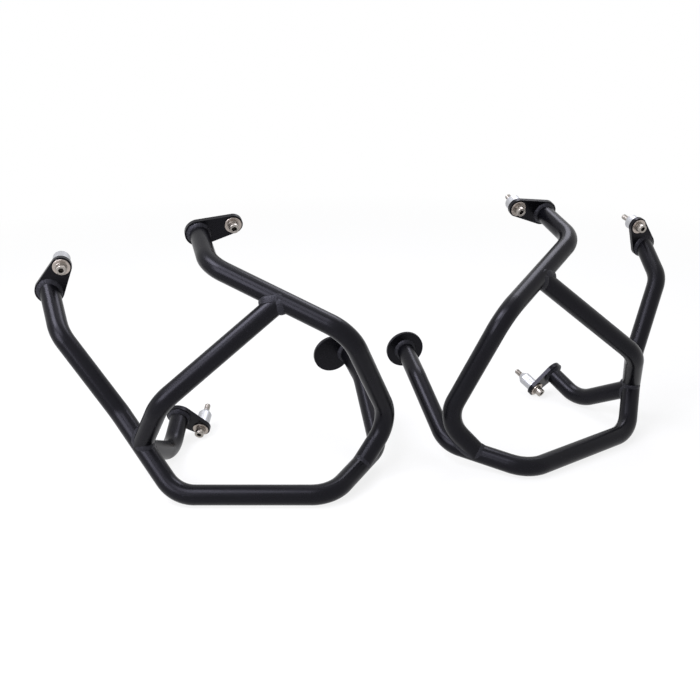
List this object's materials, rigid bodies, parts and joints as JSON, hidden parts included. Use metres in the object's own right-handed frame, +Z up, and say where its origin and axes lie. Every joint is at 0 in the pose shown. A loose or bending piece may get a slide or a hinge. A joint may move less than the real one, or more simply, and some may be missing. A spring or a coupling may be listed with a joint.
{
  "type": "motorcycle crash bars",
  "caption": "Pair of motorcycle crash bars in satin black bent steel tube with welded braces, teardrop bolt tabs, end discs, spacers and socket head bolts",
  "frame": {"origin": "on the floor, under the middle of the standing pair's bounding box", "axes": "+X along the pair, +Y away from the viewer towards the machine, +Z up from the floor the pair stands on"},
  "size_m": [0.89, 0.4234, 0.325],
  "materials": {
    "black_coat": "satin",
    "coated_weld": "satin",
    "zinc_bolt": "satin",
    "nickel_washer": "satin",
    "bare_spacer": "matte"
  },
  "bodies": {
    "root": {"left_upper_hoop": "black_coat", "left_lower_rail": "black_coat", "left_brace": "black_coat", "left_stub": "black_coat", "left_upper_tab": "black_coat", "left_rear_tab": "black_coat", "left_low_tab": "black_coat", "left_end_disc": "black_coat", "left_upper_tab_weld": "coated_weld", "left_rear_tab_weld": "coated_weld", "left_low_tab_weld": "coated_weld", "left_disc_weld": "coated_weld", "left_brace_head_weld": "coated_weld", "left_brace_foot_weld": "coated_weld", "left_stub_weld": "coated_weld", "left_hoop_foot_weld": "coated_weld", "left_upper_bolt": "zinc_bolt", "left_rear_bolt": "zinc_bolt", "left_low_bolt": "zinc_bolt", "left_upper_spring_washer": "nickel_washer", "left_rear_spring_washer": "nickel_washer", "left_low_spring_washer": "nickel_washer", "left_upper_washer": "nickel_washer", "left_rear_washer": "nickel_washer", "left_low_washer": "nickel_washer", "left_upper_spacer": "bare_spacer", "left_rear_spacer": "bare_spacer", "left_low_spacer": "bare_spacer", "right_upper_hoop": "black_coat", "right_lower_rail": "black_coat", "right_brace": "black_coat", "right_stub": "black_coat", "right_upper_tab": "black_coat", "right_rear_tab": "black_coat", "right_low_tab": "black_coat", "right_end_disc": "black_coat", "right_upper_tab_weld": "coated_weld", "right_rear_tab_weld": "coated_weld", "right_low_tab_weld": "coated_weld", "right_disc_weld": "coated_weld", "right_brace_head_weld": "coated_weld", "right_brace_foot_weld": "coated_weld", "right_stub_weld": "coated_weld", "right_hoop_foot_weld": "coated_weld", "right_upper_bolt": "zinc_bolt", "right_rear_bolt": "zinc_bolt", "right_low_bolt": "zinc_bolt", "right_upper_spring_washer": "nickel_washer", "right_rear_spring_washer": "nickel_washer", "right_low_spring_washer": "nickel_washer", "right_upper_washer": "nickel_washer", "right_rear_washer": "nickel_washer", "right_low_washer": "nickel_washer", "right_upper_spacer": "bare_spacer", "right_rear_spacer": "bare_spacer", "right_low_spacer": "bare_spacer"}
  },
  "joints": []
}
